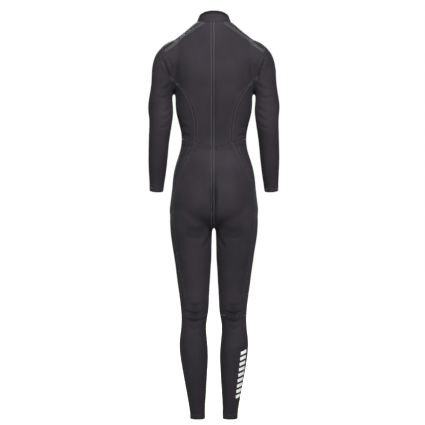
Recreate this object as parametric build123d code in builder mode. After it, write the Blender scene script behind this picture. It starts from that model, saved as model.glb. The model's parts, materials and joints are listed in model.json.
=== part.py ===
"""Full-length women's wetsuit with a curved front zip, filled out as if it were being worn.

+X is the wearer's right, +Y the wearer's front, +Z up. Millimetres.
Heights in the tables are measured up from the ankle hems; level() turns them into z.
The origin is in the neck opening, NECK_HEIGHT above the hems, on the plane between front and back.
The right half is modelled and mirrored; only the calf print is on one side.
"""
from build123d import *
from math import cos, sin, asin, sqrt, pi, copysign, exp, degrees, radians
import os

# ---- driving dimensions -------------------------------------------------------------------
WALL = 3.0            # neoprene thickness
SEAM = 0.4            # glued butt seam between two panels
NECK_HEIGHT = 1400.0  # origin above the ankle hems
REACH = 260.0         # further than any panel lies from the middle planes
HEM = 12.0            # width of the wrist and ankle hem bands
WRIST_R = 25.7        # outside radius of the wrist hem
ANKLE_R = 27.0        # outside radius of the ankle hem

ZIP_R = 675.0         # the front line of the chest is one arc, so that the zip can slide along it
ZIP_Y = -565.0
ZIP_HEIGHT = 1150.0
ZIP_LOW = 978.0       # heights of the two ends of the chain
ZIP_HIGH = 1396.0
SLOT = 7.5            # half width of the gap between the panel edges
SLOT_BELOW = 6.0      # the gap runs on this far under the chain

ELBOW = (188.0, -12.0, 1064.5)   # x, y, height of the elbow and knee axes
KNEE = (69.0, -4.0, 368.0)
ELBOW_ZONE = (1000.0, 1129.0)    # heights of the sleeve piece that bends
KNEE_ZONE = (298.0, 438.0)

# Torso girths: height, half width, back, front, squareness, bust lobes, seat lobes.
# A front of None follows the zip line.
TORSO = [
    (1412, 46, 34, 10, 2.0, 0, 0),
    (1404, 61, 46, 18, 2.0, 0, 0),
    (1395, 75, 55, 30, 1.9, 0, 0),
    (1381, 91, 64, 47, 1.85, 0, 0),
    (1366, 109, 71, 63, 1.8, 0, 0),
    (1352, 127, 77, 78, 1.75, 0, 0),
    (1337, 147, 83, None, 1.75, 0, 0),
    (1315, 163, 90, None, 1.85, 0, 0),
    (1280, 162, 97, None, 2.0, 2, 0),
    (1235, 151, 101, None, 2.15, 8, 0),
    (1190, 142, 100, None, 2.3, 14, 0),
    (1150, 140.5, 96, None, 2.35, 17, 0),
    (1110, 138, 91, None, 2.35, 13, 0),
    (1067, 129.5, 85, None, 2.3, 4, 0),
    (1031, 120, 80, None, 2.25, 0, 0),
    (986, 114.5, 77, None, 2.25, 0, 0),
    (941, 122, 84, None, 2.25, 0, 1),
    (905, 133.5, 94, 75, 2.3, 0, 3),
    (869, 142.5, 103, 78, 2.35, 0, 6),
    (815, 148.5, 112, 80, 2.4, 0, 11),
    (761, 155, 113, 78, 2.4, 0, 13),
    (725, 157, 106, 73, 2.35, 0, 10),
    (698, 150, 90, 64, 2.2, 0, 4),
    (678, 112, 62, 44, 2.1, 0, 0),
]

CROTCH = TORSO[-1][0]
LOBE = 69.0           # how far the bust and seat lobes stand from the middle
LOBE_SPREAD = 40.0    # how far each fades to the sides
GIRTH_POINTS = 20     # points round each torso girth

# Sleeve: x, y, height and the two radii of each section, from inside the shoulder to the wrist.
SLEEVE = [
    (112, -8, 1296, 52, 50),
    (146, -8, 1276, 55, 54),
    (167, -8, 1240, 53.5, 53),
    (178, -8, 1200, 44.5, 50),
    (186.3, -9, 1145, 41.6, 46.5),
    (188, -12, 1064.5, 42, 44),
    (193, -5, 1005, 37.8, 40.5),
    (198, 10, 941, 35.2, 37),
    (202, 24.5, 869, 30.5, 31.5),
    (204.5, 34, 832, 26.8, 27),
    (205.4, 37.4, 818.6, WRIST_R, WRIST_R),
]

# Leg: height, x, y and the two radii of each section, from inside the seat to the ankle.
LEG = [
    (752, 84, -17, 62, 76),
    (705, 80, -17, 76, 84),
    (655, 78, -14, 75.5, 81),
    (596, 75.8, -8, 69, 75),
    (538, 73.6, -5, 62.5, 69),
    (481, 71.6, -3, 57, 63.5),
    (425, 69, -3, 52, 58),
    (368, 68.6, -6, 47.2, 54),
    (308, 72.5, -13, 45.4, 52),
    (262, 72, -19, 49.2, 55),
    (215, 69.3, -21, 48.4, 53),
    (164, 66.4, -18, 43, 47),
    (106, 63, -15, 36.2, 39),
    (49, 59.6, -13, 29.4, 31.5),
    (HEM, 57.6, -12, ANKLE_R, ANKLE_R),
]

# Collar rings: y, height, half width, half depth; each ring is higher at the nape.
COLLAR = [
    (11.0, 1358, 74, 72),
    (13.5, 1375, 70, 69),
    (12.4, 1398, 63, 62.6),
    (9.0, 1421, 54, 55),
]
COLLAR_TILT = 20.5
COLLAR_SPLIT = (1300.0, 1450.0)   # heights that the cut in front of the collar spans


def level(height):
    """z of a height above the ankle hems."""
    return height - NECK_HEIGHT


def chest_line(height):
    """y of the front line, which the zip follows."""
    return ZIP_Y + sqrt(ZIP_R ** 2 - (height - ZIP_HEIGHT) ** 2)


# ---- the body form ------------------------------------------------------------------------
def girth(half_width, back, front, squareness, bust, seat):
    """Closed spline round one level of the torso: a superellipse with two lobes in front or behind."""
    points = []
    for k in range(GIRTH_POINTS):
        across = cos(2 * pi * k / GIRTH_POINTS)
        along = sin(2 * pi * k / GIRTH_POINTS)
        x = half_width * copysign(abs(across) ** (2 / squareness), across)
        depth, lobe = (front, bust) if along > 0 else (back, seat)
        raised = lobe * abs(along) * exp(-((abs(x) - LOBE) / LOBE_SPREAD) ** 2)
        points.append((x, copysign(depth * abs(along) ** (2 / squareness) + raised, along)))
    steps = [k / GIRTH_POINTS for k in range(GIRTH_POINTS + 1)]
    return Edge.make_spline(points, periodic=True, parameters=steps)


def torso_form(inset):
    """Solid of the trunk, inset under its outer surface and above the floor of the crotch."""
    with BuildPart() as form:
        for height, half_width, back, front, squareness, bust, seat in TORSO:
            depth = chest_line(height) if front is None else front
            lift = inset if height == CROTCH else 0
            with BuildSketch(Plane.XY.offset(level(height) + lift)):
                with BuildLine():
                    add(girth(half_width - inset, back - inset, depth - inset, squareness, bust, seat))
                make_face()
        loft()
    return form.part


def sleeve_form(inset):
    """Solid of the right arm, with each section square to the arm."""
    with BuildPart() as form:
        for k, (x, y, height, radius_x, radius_y) in enumerate(SLEEVE):
            above = SLEEVE[max(k - 1, 0)]
            below = SLEEVE[k] if k == len(SLEEVE) - 1 else SLEEVE[k + 1]
            along = Vector(*below[:3]) - Vector(*above[:3])
            along = along.normalized()
            across = (Vector(1, 0, 0) - along * along.X).normalized()
            with BuildSketch(Plane(origin=(x, y, level(height)), x_dir=across, z_dir=along)):
                Ellipse(radius_x - inset, radius_y - inset)
        loft()
    return form.part


def leg_form(inset):
    """Solid of the right leg."""
    with BuildPart() as form:
        for height, x, y, radius_x, radius_y in LEG:
            with BuildSketch(Plane((x, y, level(height)))):
                Ellipse(radius_x - inset, radius_y - inset)
        loft()
    return form.part


def collar_form(inset):
    """Solid inside the collar's outer face."""
    with BuildPart() as form:
        for y, height, half_width, half_depth in COLLAR:
            tilted = Plane(origin=(0, y, level(height))).rotated((-COLLAR_TILT, 0, 0))
            with BuildSketch(tilted):
                Ellipse(half_width - inset, half_depth - inset)
        loft()
    return form.part


def suit_form(inset):
    """Trunk, right arm and right leg as one solid."""
    with BuildPart() as form:
        add(torso_form(inset))
        add(sleeve_form(inset))
        add(leg_form(inset))
    return form.part


# ---- cutting tools ------------------------------------------------------------------------
def seam_wall(points, y_from, y_to, width=SEAM):
    """Thin wall along a seam drawn on the back or front, running from y_from to y_to."""
    with BuildPart() as wall:
        with BuildSketch(Plane.XZ.offset(-y_to)):
            with BuildLine() as line:
                if len(points) == 2:
                    Line(*[(x, level(height)) for x, height in points])
                else:
                    Spline([(x, level(height)) for x, height in points])
            trace(line_width=width)
        extrude(amount=y_to - y_from)
    return wall.part


def level_cut(height, y_from=-REACH, y_to=REACH):
    """Thin horizontal wall between two pieces of a limb."""
    return seam_wall([(0, height), (REACH, height)], y_from, y_to)


def block(x_from, x_to, y_from, y_to, height_from, height_to):
    """Plain box between two corners."""
    centre = ((x_from + x_to) / 2, (y_from + y_to) / 2, level((height_from + height_to) / 2))
    with BuildPart() as solid:
        with BuildSketch(Plane(centre)):
            Rectangle(x_to - x_from, y_to - y_from)
        extrude(amount=(height_to - height_from) / 2, both=True)
    return solid.part


# Seams on the right half, as x and height, read from the back.
ARMHOLE = [(168, 1350), (178, 1311), (182, 1272), (167, 1228), (149, 1195), (143.2, 1168)]
UNDERARM_GAP = [(143.2, 1168), (142.6, 1121), (144, 1040), (150, 960), (162, 860), (168, 790)]
WAIST = [(-6, 946), (61, 973), (113, 988), (170, 996)]
BACK_PRINCESS = [(172, 1224), (140, 1192), (108, 1157), (84, 1118), (67, 1063), (62, 1020), (62, 968)]
FRONT_PRINCESS = [(172, 1224), (142, 1199), (112, 1174), (86, 1135), (72, 1070), (66, 1010), (64, 968)]
SHOULDER = [(30, 1409), (58, 1391), (112, 1352), (186, 1297)]
HIP = [(72, 982), (88, 941), (115, 885), (134, 835), (146, 750), (143, 657), (126, 540), (109, 434)]
BACK_SEAMS_TO = 6.0       # the back seams are cut from behind up to this y
FRONT_SEAMS_FROM = 4.0    # and the front ones from here forwards
# Side seam and inseam, as y and height: the plane between the front and back panels.
SIDE = [(4, 1200), (6, 1090), (8, 985), (10, 870), (8, 700), (4, 560), (-2, 438), (-5, 368), (-12, 298),
        (-19, 215), (-14, 90), (-12, 0)]


def side_wall():
    """Thin wall between the front and back panels, from the armpit to the ankle."""
    back_face = [(y - SEAM / 2, level(height)) for y, height in SIDE]
    front_face = [(y + SEAM / 2, level(height)) for y, height in SIDE]
    with BuildPart() as wall:
        with BuildSketch(Plane.YZ):
            with BuildLine():
                Spline(back_face)
                Spline(front_face)
                Line(back_face[0], front_face[0])
                Line(back_face[-1], front_face[-1])
            make_face()
        extrude(amount=REACH)
    return wall.part


def sleeve_zone():
    """Everything beyond the armhole, on the arm's side of the gap beside the body."""
    outside = [(REACH, UNDERARM_GAP[-1][1]), (REACH, ARMHOLE[0][1]), ARMHOLE[0]]
    with BuildPart() as zone:
        with BuildSketch(Plane.XZ.offset(-REACH)):
            with BuildLine():
                Spline([(x, level(height)) for x, height in ARMHOLE])
                Polyline([(x, level(height)) for x, height in UNDERARM_GAP + outside])
            make_face()
        extrude(amount=2 * REACH)
    return zone.part


# ---- the neoprene shell of the right half --------------------------------------------------
with BuildPart() as shell:
    add(suit_form(0))
    add(suit_form(WALL), mode=Mode.SUBTRACT)
    split(bisect_by=Plane.YZ.offset(SEAM / 2), keep=Keep.TOP)

with BuildPart() as sleeve:
    add(shell.part)
    add(sleeve_zone(), mode=Mode.INTERSECT)
    add(seam_wall(ARMHOLE, -REACH, REACH, 2 * SEAM), mode=Mode.SUBTRACT)
    for height in ELBOW_ZONE:
        add(level_cut(height), mode=Mode.SUBTRACT)

with BuildPart() as trunk:
    add(shell.part)
    add(sleeve_zone(), mode=Mode.SUBTRACT)
    add(collar_form(-SEAM / 2), mode=Mode.SUBTRACT)
    add(block(0, SLOT, 0, REACH, ZIP_LOW - SLOT_BELOW, ZIP_HIGH), mode=Mode.SUBTRACT)
    add(side_wall(), mode=Mode.SUBTRACT)
    add(seam_wall(WAIST, -REACH, REACH), mode=Mode.SUBTRACT)
    add(seam_wall(BACK_PRINCESS, -REACH, BACK_SEAMS_TO), mode=Mode.SUBTRACT)
    add(seam_wall(FRONT_PRINCESS, FRONT_SEAMS_FROM, REACH), mode=Mode.SUBTRACT)
    add(seam_wall(SHOULDER, -REACH, 0), mode=Mode.SUBTRACT)
    add(seam_wall(HIP, -REACH, BACK_SEAMS_TO), mode=Mode.SUBTRACT)
    for height in KNEE_ZONE:
        add(level_cut(height), mode=Mode.SUBTRACT)
    add(level_cut(KNEE[2], -REACH, KNEE[1]), mode=Mode.SUBTRACT)


def save(piece, name):
    """Label a finished piece and write it."""
    piece.part.label = name
    export_step(piece.part, "parts/" + name + ".step")


def save_pair(piece, name):
    """Write a right-hand piece and its mirrored left-hand twin."""
    with BuildPart() as twin:
        mirror(piece.part, about=Plane.YZ)
    save(piece, name + "_right")
    save(twin, name + "_left")


os.makedirs("parts", exist_ok=True)

# ---- panels: each is found by a point on it: x, y, height ----------------------------------
SLEEVE_PIECES = {
    "upper_sleeve": (228, -8, 1150),
    "elbow_sleeve": (230, -12, 1065),
    "forearm_sleeve": (230, 20, 900),
}
TRUNK_PIECES = {
    "back_panel": (40, -96, 1200),
    "side_back_panel": (125, -40, 1060),
    "front_panel": (40, 105, 1200),
    "side_front_panel": (122, 40, 1060),
    "seat_panel": (70, -120, 800),
    "hip_panel": (145, -20, 750),
    "thigh_front_panel": (78, 65, 600),
    "knee_back_upper_panel": (70, -60, 400),
    "knee_back_lower_panel": (72, -63, 335),
    "knee_front_panel": (70, 48, 368),
    "calf_panel": (70, -72, 200),
    "shin_panel": (70, 34, 200),
}
for source, probes in ((sleeve, SLEEVE_PIECES), (trunk, TRUNK_PIECES)):
    for name, (x, y, height) in probes.items():
        with BuildPart() as panel:
            add(source.part.solids().sort_by_distance((x, y, level(height)))[0])
        save_pair(panel, name)

# ---- hem bands: true round bands -----------------------------------------------------------
wrist_end = Vector(*SLEEVE[-1][:3])
wrist_along = (wrist_end - Vector(*SLEEVE[-2][:3])).normalized()
wrist_start = wrist_end + wrist_along * SEAM - Vector(0, 0, NECK_HEIGHT)
with BuildPart() as wrist_hem:
    with BuildSketch(Plane(origin=wrist_start, z_dir=wrist_along)):
        Circle(WRIST_R)
        Circle(WRIST_R - WALL, mode=Mode.SUBTRACT)
    extrude(amount=HEM - SEAM)
save_pair(wrist_hem, "wrist_hem")

with BuildPart() as ankle_hem:
    with BuildSketch(Plane((LEG[-1][1], LEG[-1][2], level(0)))):
        Circle(ANKLE_R)
        Circle(ANKLE_R - WALL, mode=Mode.SUBTRACT)
    extrude(amount=HEM - SEAM)
save_pair(ankle_hem, "ankle_hem")

# ---- collar and its smooth lining ----------------------------------------------------------
with BuildPart() as collar:
    add(collar_form(0))
    add(collar_form(WALL), mode=Mode.SUBTRACT)
    add(torso_form(WALL), mode=Mode.SUBTRACT)
    add(block(-SLOT, SLOT, 0, REACH, *COLLAR_SPLIT), mode=Mode.SUBTRACT)
save(collar, "collar")

LINING = 1.2
LINING_GAP = 0.2
LINING_EDGE = 14.0    # the lining stops this far from the middle of the zip
with BuildPart() as collar_lining:
    add(collar_form(WALL + LINING_GAP))
    add(collar_form(WALL + LINING_GAP + LINING), mode=Mode.SUBTRACT)
    add(torso_form(WALL), mode=Mode.SUBTRACT)
    add(block(-LINING_EDGE, LINING_EDGE, 0, REACH, *COLLAR_SPLIT), mode=Mode.SUBTRACT)
save(collar_lining, "collar_lining")

# ---- surface pieces: shoulder tape, knee pad and calf print ---------------------------------
PROUD = 0.1           # clearance under a piece that lies on the neoprene
TAPE_WIDTH = 11.0
TAPE_THICKNESS = 0.8
with BuildPart() as shoulder_tape:
    add(seam_wall(SHOULDER, -REACH, 0, TAPE_WIDTH))
    add(suit_form(-PROUD - TAPE_THICKNESS), mode=Mode.INTERSECT)
    add(suit_form(-PROUD), mode=Mode.SUBTRACT)
    add(collar_form(-SEAM), mode=Mode.SUBTRACT)
    add(sleeve_zone(), mode=Mode.SUBTRACT)
save_pair(shoulder_tape, "shoulder_tape")

PAD_THICKNESS = 1.5
PAD_HEIGHT = 380.0
PAD_SIZE = (72.0, 132.0)
PAD_CORNER = 24.0
with BuildPart() as knee_pad:
    with BuildSketch(Plane.XZ.offset(-REACH)):
        with Locations((KNEE[0], level(PAD_HEIGHT))):
            RectangleRounded(*PAD_SIZE, PAD_CORNER)
    extrude(amount=REACH)
    add(leg_form(-PROUD - PAD_THICKNESS), mode=Mode.INTERSECT)
    add(leg_form(-PROUD), mode=Mode.SUBTRACT)
save_pair(knee_pad, "knee_pad")

PRINT_THICKNESS = 0.3
PRINT_FROM = 20.0     # the bars stay on the back of the calf, behind this depth
BARS = 9
BAR_OUTLINE = [(-10, -9), (10, -2), (10, 9), (-10, 2)]
BAR_X = 104.0         # middle of the top bar
BAR_PITCH = 19.5
BAR_TOP = 240.0
BAR_LEAN = 0.11       # the row follows the narrowing calf inwards
with BuildPart() as calf_print:
    with BuildSketch(Plane.XZ.offset(PRINT_FROM)):
        for k in range(BARS):
            middle = BAR_X - k * BAR_PITCH * BAR_LEAN
            with Locations((middle, level(BAR_TOP - k * BAR_PITCH))):
                Polygon(*BAR_OUTLINE, align=None)
    extrude(amount=REACH)
    add(leg_form(-PROUD - PRINT_THICKNESS), mode=Mode.INTERSECT)
    add(leg_form(-PROUD), mode=Mode.SUBTRACT)
save(calf_print, "calf_print_right")

# ---- the zip ------------------------------------------------------------------------------
ZIP_AXIS = Axis((0, ZIP_Y, level(ZIP_HEIGHT)), (1, 0, 0))
LOW_ANGLE = degrees(asin((ZIP_LOW - ZIP_HEIGHT) / ZIP_R))
HIGH_ANGLE = degrees(asin((ZIP_HIGH - ZIP_HEIGHT) / ZIP_R))
FLAP_JOIN_HEIGHT = 1335.0          # the flap is joined to the left panel up to here
FLAP_JOIN_ANGLE = degrees(asin((FLAP_JOIN_HEIGHT - ZIP_HEIGHT) / ZIP_R))
DEGREE = ZIP_R * pi / 180          # length of chain in one degree
TOOTH_PITCH = 3.9
TOOTH = 2.4
CHAIN_GAP = 0.7                    # the tapes and stops keep this far from the middle
CHAIN_EDGE = 5.2                   # outer edge of the stops
TAPE_EDGE = 12.0
CORD_FROM, CORD_TO = 1.5, 4.0      # thick edge that carries the teeth
TOOTH_MIDDLE, TOOTH_WIDTH = 2.85, 4.3
STOP = 3.0
SLIDER_LENGTH = 17.0
SLIDER_GAP = 1.0                   # left between the slider and a stop
SLIDER_INSET = (STOP + SLIDER_GAP + SLIDER_LENGTH / 2) / DEGREE
SLIDER_REST = HIGH_ANGLE - SLIDER_INSET
SLIDER_LOWEST = LOW_ANGLE + SLIDER_INSET
# Depths are from the panels' outer face: negative is towards the body.
TAPE_BACK, TAPE_FACE, CORD_FACE, TEETH_BACK, TEETH_FACE = -5.3, -4.5, -3.6, -3.5, -0.9
PULL_THICKNESS = 1.6
BAR_DEPTH = 2.6                    # the pull's crossbar stands this far out
BAR_DOWN = 1.5                     # and this far down the slider


def chain_plane(angle):
    """Plane across the chain; its x is across the body and its y runs out from the arc's centre."""
    square = (0, -sin(radians(angle)), cos(radians(angle)))
    return Plane(origin=(0, ZIP_Y, level(ZIP_HEIGHT)), x_dir=(1, 0, 0), z_dir=square)


def slider_point(depth, down):
    """Point over the middle of the slider, a depth out and a length down the chain."""
    outwards = Vector(0, cos(radians(SLIDER_REST)), sin(radians(SLIDER_REST)))
    downwards = Vector(0, outwards.Z, -outwards.Y)
    return Vector(0, ZIP_Y, level(ZIP_HEIGHT)) + outwards * (ZIP_R + depth) + downwards * down


def slider_plane(depth):
    """Plane lying on the closed slider; its y runs down the chain and its z points out."""
    origin = slider_point(depth, 0)
    return Plane(origin=origin, x_dir=(1, 0, 0), z_dir=slider_point(depth + 1, 0) - origin)


def strip(x_from, x_to, depth_from, depth_to, angle_from, angle_to):
    """Curved strip that follows the chain."""
    with BuildPart() as solid:
        with BuildSketch(chain_plane(angle_from)):
            with Locations(((x_from + x_to) / 2, ZIP_R + (depth_from + depth_to) / 2)):
                Rectangle(x_to - x_from, depth_to - depth_from)
        revolve(axis=ZIP_AXIS, revolution_arc=angle_to - angle_from)
    return solid.part


with BuildPart() as zip_tape:
    add(strip(CHAIN_GAP, TAPE_EDGE, TAPE_BACK, TAPE_FACE, LOW_ANGLE, HIGH_ANGLE))
    add(strip(CORD_FROM, CORD_TO, TAPE_FACE, CORD_FACE, LOW_ANGLE, HIGH_ANGLE))
save_pair(zip_tape, "zip_tape")

first_tooth = LOW_ANGLE + (STOP + TOOTH_PITCH / 2) / DEGREE
teeth_per_side = int(((HIGH_ANGLE - LOW_ANGLE) * DEGREE - 2 * STOP - TOOTH_PITCH) / TOOTH_PITCH)
for side, name in ((1, "zip_teeth_right"), (-1, "zip_teeth_left")):
    stagger = TOOTH_PITCH / 2 if side > 0 else 0
    angles = [first_tooth + (stagger + k * TOOTH_PITCH) / DEGREE for k in range(teeth_per_side)]
    with BuildPart() as teeth:
        with BuildSketch(*[chain_plane(angle) for angle in angles]):
            with Locations((side * TOOTH_MIDDLE, ZIP_R + (TEETH_BACK + TEETH_FACE) / 2)):
                Rectangle(TOOTH_WIDTH, TEETH_FACE - TEETH_BACK)
        extrude(amount=TOOTH / 2, both=True)
    save(teeth, name)

with BuildPart() as zip_top_stops:
    add(strip(CHAIN_GAP, CHAIN_EDGE, TEETH_BACK, TEETH_FACE, HIGH_ANGLE - STOP / DEGREE, HIGH_ANGLE))
    mirror(about=Plane.YZ)
save(zip_top_stops, "zip_top_stops")

with BuildPart() as zip_bottom_stop:
    add(strip(-CHAIN_EDGE, CHAIN_EDGE, TEETH_BACK, TEETH_FACE, LOW_ANGLE, LOW_ANGLE + STOP / DEGREE))
save(zip_bottom_stop, "zip_bottom_stop")

FLAP_LEFT, FLAP_RIGHT = -20.0, 14.0
FLAP_BACK, FLAP_FACE = -10.0, -8.2
FLAP_RIB_EDGE, FLAP_RIB_FACE = -15.0, -5.4    # the rib that joins the flap to the left panel
FLAP_FROM = LOW_ANGLE - 0.8
FLAP_TO = HIGH_ANGLE - 1
with BuildPart() as zip_underflap:
    add(strip(FLAP_LEFT, FLAP_RIGHT, FLAP_BACK, FLAP_FACE, FLAP_FROM, FLAP_TO))
    add(strip(FLAP_LEFT, FLAP_RIB_EDGE, FLAP_FACE, FLAP_RIB_FACE, FLAP_FROM, FLAP_JOIN_ANGLE))
save(zip_underflap, "zip_underflap")

# Slider: two plates round the chain, a thin web between the rows, side flanges and a bail.
PLATE_OUTLINE = [(-6.4, -8.5), (6.4, -8.5), (6.4, 2), (4.6, 8.5), (-4.6, 8.5), (-6.4, 2)]
PLATE_CORNER = 1.6
PLATES = ((-0.5, 1.6), (-7.6, 1.9))           # depth of each plate's back and its thickness
WEB_BACK, WEB_DEPTH = -5.8, 5.4
FLANGE_BACK, FLANGE_DEPTH = -3.2, 2.9
BAIL_ROOT = 1.0                               # inside the front plate
BAIL_LENGTH, BAIL_TOP = 9.4, 5.4
EYE_LENGTH, EYE_TOP = 7.0, 4.2
with BuildPart() as zip_slider:
    for depth, thickness in PLATES:
        with BuildSketch(slider_plane(depth)):
            Polygon(*PLATE_OUTLINE, align=None)
            fillet(vertices(), PLATE_CORNER)
        extrude(amount=thickness)
    with BuildSketch(slider_plane(WEB_BACK)):
        with Locations((0, -5)):
            Rectangle(0.7, 6)
    extrude(amount=WEB_DEPTH)
    with BuildSketch(slider_plane(FLANGE_BACK)):
        with Locations((6, -3), (-6, -3)):
            Rectangle(0.8, 8)
    extrude(amount=FLANGE_DEPTH)
    down_chain = slider_point(0, 1) - slider_point(0, 0)
    with BuildSketch(Plane(origin=slider_point(0, 0), x_dir=down_chain, z_dir=(1, 0, 0))):
        with Locations((-0.5, (BAIL_ROOT + BAIL_TOP) / 2)):
            Rectangle(BAIL_LENGTH, BAIL_TOP - BAIL_ROOT)
        with Locations((-0.5, (BAIL_ROOT + EYE_TOP) / 2)):
            Rectangle(EYE_LENGTH, EYE_TOP - BAIL_ROOT, mode=Mode.SUBTRACT)
    extrude(amount=1, both=True)
save(zip_slider, "zip_slider")

# Pull: a flat tab whose top bar turns under the bail.
NECK = (8.4, 9.8)
TAB = (11.0, 30.0)
TAB_CORNER = 3.5
with BuildPart() as zip_pull:
    with BuildSketch(slider_plane(BAR_DEPTH - PULL_THICKNESS / 2)):
        with Locations((0, BAR_DOWN + 4.1)):
            Rectangle(*NECK)
        with Locations((0, BAR_DOWN + 21.5)):
            RectangleRounded(*TAB, TAB_CORNER)
        with Locations((0, BAR_DOWN + 4.15)):
            Rectangle(4.4, 6.7, mode=Mode.SUBTRACT)
        with Locations((0, BAR_DOWN + 32)):
            Circle(1.8, mode=Mode.SUBTRACT)
    extrude(amount=PULL_THICKNESS)
save(zip_pull, "zip_pull")

# Joint places for the record, in metres.
bar = slider_point(BAR_DEPTH, BAR_DOWN)
print("zip axis", [0, ZIP_Y / 1000, level(ZIP_HEIGHT) / 1000], "range", round(SLIDER_LOWEST - SLIDER_REST, 2), 0)
print("pull axis", [0, round(bar.Y / 1000, 5), round(bar.Z / 1000, 5)])
print("wrist bore", [round(v / 1000, 5) for v in wrist_start], [round(v, 5) for v in wrist_along])
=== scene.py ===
"""Looks of a full-length wetsuit with a curved front zip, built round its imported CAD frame."""
import json
import math

import bmesh
import bpy
import numpy as np
from mathutils import Matrix, Vector, noise
from mathutils.bvhtree import BVHTree
from mathutils.kdtree import KDTree


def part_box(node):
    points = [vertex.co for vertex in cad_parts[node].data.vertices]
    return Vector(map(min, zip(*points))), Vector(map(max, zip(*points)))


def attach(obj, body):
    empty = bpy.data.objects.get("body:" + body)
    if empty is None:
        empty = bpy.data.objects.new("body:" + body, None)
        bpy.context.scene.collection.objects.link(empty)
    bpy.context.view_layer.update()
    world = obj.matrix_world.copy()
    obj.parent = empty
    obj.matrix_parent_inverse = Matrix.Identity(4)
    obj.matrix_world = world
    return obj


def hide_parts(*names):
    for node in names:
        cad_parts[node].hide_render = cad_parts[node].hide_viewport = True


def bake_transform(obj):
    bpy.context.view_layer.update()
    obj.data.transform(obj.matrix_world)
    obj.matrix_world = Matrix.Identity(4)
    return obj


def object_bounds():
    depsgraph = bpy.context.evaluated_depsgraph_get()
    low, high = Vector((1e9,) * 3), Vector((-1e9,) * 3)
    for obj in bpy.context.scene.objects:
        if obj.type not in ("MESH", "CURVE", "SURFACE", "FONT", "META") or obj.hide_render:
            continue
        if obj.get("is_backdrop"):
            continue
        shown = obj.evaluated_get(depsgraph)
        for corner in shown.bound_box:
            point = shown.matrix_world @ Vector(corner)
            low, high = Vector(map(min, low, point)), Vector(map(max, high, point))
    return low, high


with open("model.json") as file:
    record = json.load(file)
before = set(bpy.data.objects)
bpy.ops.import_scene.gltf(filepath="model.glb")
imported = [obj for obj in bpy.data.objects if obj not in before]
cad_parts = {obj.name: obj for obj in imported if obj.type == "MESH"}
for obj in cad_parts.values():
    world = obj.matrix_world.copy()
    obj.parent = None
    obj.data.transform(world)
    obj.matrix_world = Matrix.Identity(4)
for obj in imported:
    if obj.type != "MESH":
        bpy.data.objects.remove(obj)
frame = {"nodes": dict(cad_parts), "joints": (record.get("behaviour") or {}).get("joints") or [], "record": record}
CAD_LOW, CAD_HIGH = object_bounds()
NODES = frame["nodes"]
MOUNTS = {m["name"]: m for m in frame["record"]["mounts"]}
JOINTS = {j["name"]: j for j in frame["joints"]}
SIDES = (("right", 1), ("left", -1))
HEMS = [MOUNTS[f"{part}_opening_{side}"] for side, _ in SIDES for part in ("wrist", "ankle")]

VOXEL = 0.004          # size of the mesh that the panels are cut from
WALL = 0.003           # neoprene
GAP_REACH = 0.004      # how far each panel is carried on to close the gaps between them
END_TRIM = 0.0025      # the hems are cut this far before their ends, then drawn out square
FLOOR = CAD_LOW.z
OUTWARD = 0.12         # least share of a face's direction that has to point away from the wearer
FRONT_HALF = 0.03      # from here forwards (y) a point counts as on the zip's side
END_REACH, COLLAR_REACH = 0.06, 0.09     # how far from its middle an open end's rim lies

# Pieces cut from the skin, each with the CAD nodes it stands for.
GROUPS = {
    "back_panel": ["back_panel"],
    "side_back_panel": ["side_back_panel"],
    "front_panel": ["front_panel"],
    "side_front_panel": ["side_front_panel"],
    "seat_panel": ["seat_panel", "knee_back_upper_panel"],
    "hip_panel": ["hip_panel"],
    "thigh_front_panel": ["thigh_front_panel"],
    "knee_front_panel": ["knee_front_panel"],
    "calf_panel": ["knee_back_lower_panel", "calf_panel"],
    "shin_panel": ["shin_panel"],
    "ankle_hem": ["ankle_hem"],
    "upper_sleeve": ["upper_sleeve"],
    "forearm_sleeve": ["elbow_sleeve", "forearm_sleeve"],
    "wrist_hem": ["wrist_hem"],
}
ARM = ("upper_sleeve", "forearm_sleeve", "wrist_hem")
BENDS_AT_KNEE = ("seat_panel", "knee_front_panel", "calf_panel")
LOWER_LEG = ("shin_panel", "ankle_hem")


def share(value, start, span):
    """0 up to the start, 1 after the span."""
    return np.clip((value - start) / span, 0, 1)


def eased(line, rounds):
    """A row of values with its kinks eased out, its two ends kept."""
    line = line.copy()
    for _ in range(rounds):
        line[1:-1] = (line[:-2] + line[1:-1] * 2 + line[2:]) / 4
    return line


def kind_of(name):
    """A node's or piece's name without its side."""
    return name.rpartition("_")[0]


def unit(v):
    return v / np.maximum(np.linalg.norm(v, axis=-1, keepdims=True), 1e-12)


def mesh_arrays(mesh):
    """Vertices and triangles of a mesh."""
    points = np.empty(len(mesh.vertices) * 3)
    mesh.vertices.foreach_get("co", points)
    mesh.calc_loop_triangles()
    corners = np.empty(len(mesh.loop_triangles) * 3, np.int32)
    mesh.loop_triangles.foreach_get("vertices", corners)
    return points.reshape(-1, 3), corners.reshape(-1, 3)


def face_cross(points, tris):
    """Each triangle's direction, as long as twice its area."""
    return np.cross(points[tris[:, 1]] - points[tris[:, 0]], points[tris[:, 2]] - points[tris[:, 0]])


def sides_of(tris):
    return np.concatenate([tris[:, [0, 1]], tris[:, [1, 2]], tris[:, [2, 0]]])


def lone(sides):
    """Which of these triangle sides no second triangle shares."""
    _, first, times = np.unique(np.sort(sides, axis=1), axis=0, return_index=True, return_counts=True)
    return first[times == 1]


def axis_distance(points, line):
    """Vector from the nearest place on a polyline to each point, and that distance."""
    best = np.full(len(points), 1e9)
    arm = np.zeros_like(points)
    for a, b in zip(line[:-1], line[1:]):
        along = b - a
        t = np.clip((points - a) @ along / (along @ along), 0, 1)
        offset = points - (a + t[:, None] * along)
        length = np.linalg.norm(offset, axis=1)
        nearer = length < best
        best[nearer] = length[nearer]
        arm[nearer] = offset[nearer]
    return arm, best


def mirrored(v, sign):
    return np.array([v[0] * sign, v[1], v[2]], float)


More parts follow.
